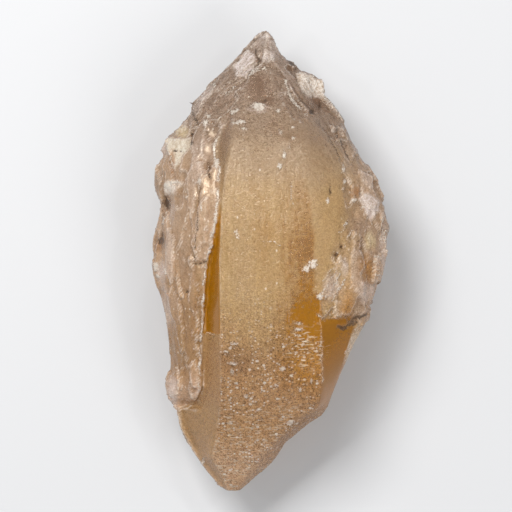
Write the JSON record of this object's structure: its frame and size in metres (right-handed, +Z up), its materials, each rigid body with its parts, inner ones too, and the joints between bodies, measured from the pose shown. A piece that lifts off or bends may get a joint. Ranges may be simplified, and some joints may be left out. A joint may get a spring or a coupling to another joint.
{
  "type": "citrine crystal",
  "caption": "Natural citrine quartz crystal, etched and see-through, tapered to a blunt point at both ends, lying on its back prism face as a display stone.",
  "frame": {"origin": "on the resting face, under the middle of the crystal's box", "axes": "+X across the crystal, +Y along it towards the point, +Z up out of the broad front prism face"},
  "size_m": [0.0873, 0.168, 0.058],
  "materials": {
    "citrine": "see-through golden to smoky quartz, etched and frosted outside, with clear amber windows"
  },
  "bodies": {
    "root": {"citrine_crystal": "citrine"}
  },
  "joints": []
}
